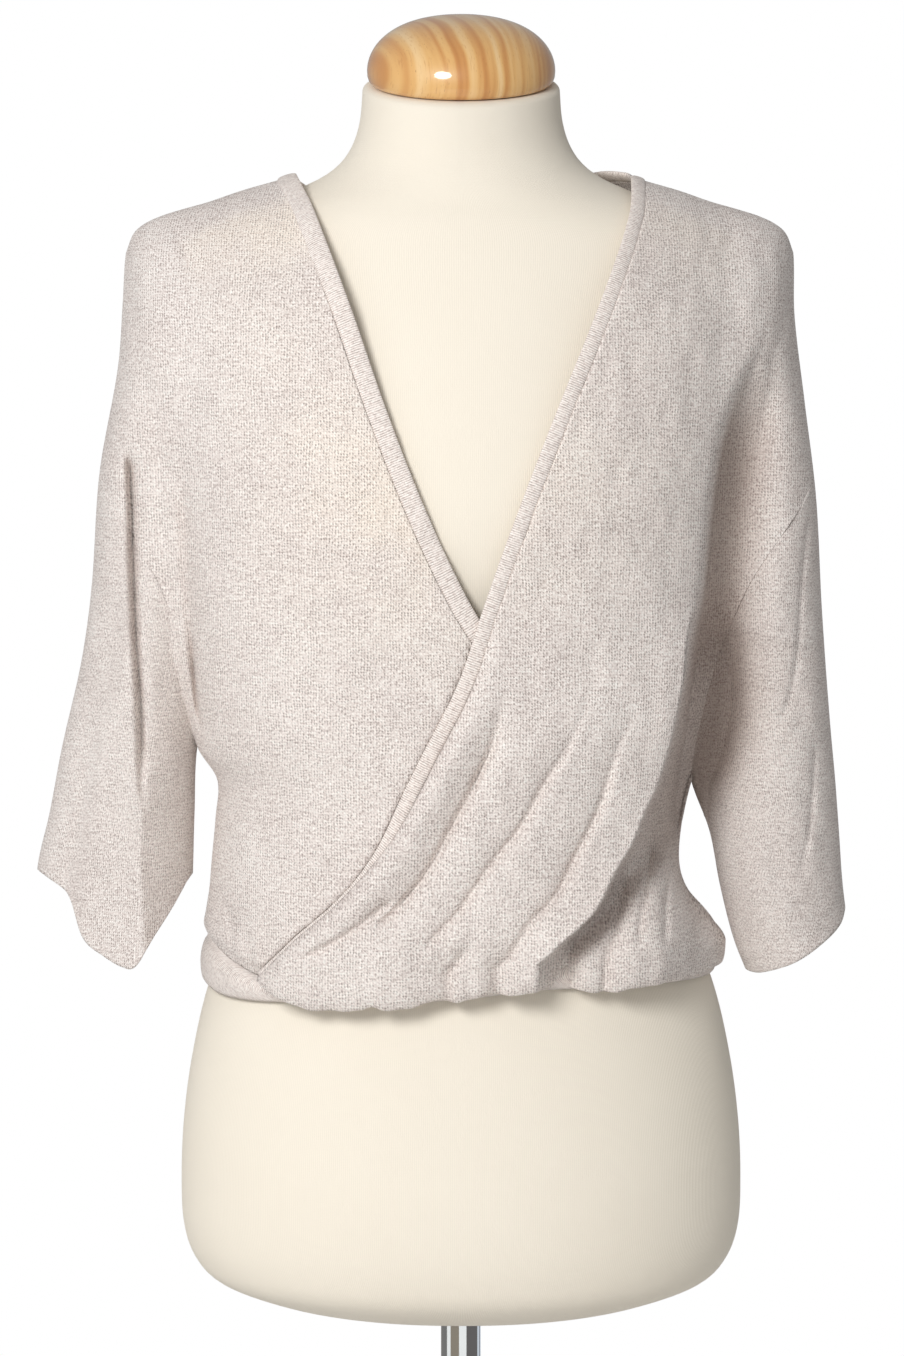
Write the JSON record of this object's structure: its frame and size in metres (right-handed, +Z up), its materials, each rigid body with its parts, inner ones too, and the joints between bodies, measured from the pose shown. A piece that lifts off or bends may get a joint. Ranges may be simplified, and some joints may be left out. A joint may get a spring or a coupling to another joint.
{
  "type": "crossover knit pullover on a limbless dress form",
  "caption": "Fine-knit pullover with a crossover V front, wide elbow sleeves and a gathered blouson hem, worn by a limbless dress form with a wooden neck cap on a short pole and round base.",
  "frame": {"origin": "centre of the base's underside, on the axis of the pole", "axes": "+Z up, -Y is the front of the form and of the pullover, +X is the side of the overlapping front, which is the wearer's left"},
  "size_m": [0.4912, 0.3, 0.9898],
  "materials": {
    "knit": "fine marled jersey knit in pale greyish beige, slightly sheer, matt",
    "knit_band": "the same marled yarn as a folded band, its ribs across the band",
    "form_jersey": "cream cotton jersey stretched smooth, fine upright ribs",
    "cap_wood": "turned pine, upright grain, glossy clear varnish",
    "pole_chrome": "polished chrome tube",
    "base_steel": "pale grey satin powder-coated steel plate"
  },
  "bodies": {
    "root": {"base": "base_steel", "pole": "pole_chrome", "torso": "form_jersey", "neck_cap": "cap_wood", "front_over": "knit", "front_under": "knit", "back": "knit", "sleeve_left": "knit", "sleeve_right": "knit", "neck_band_over": "knit_band", "neck_band_under": "knit_band", "neck_band_back": "knit_band", "hem_band": "knit_band"}
  },
  "joints": []
}
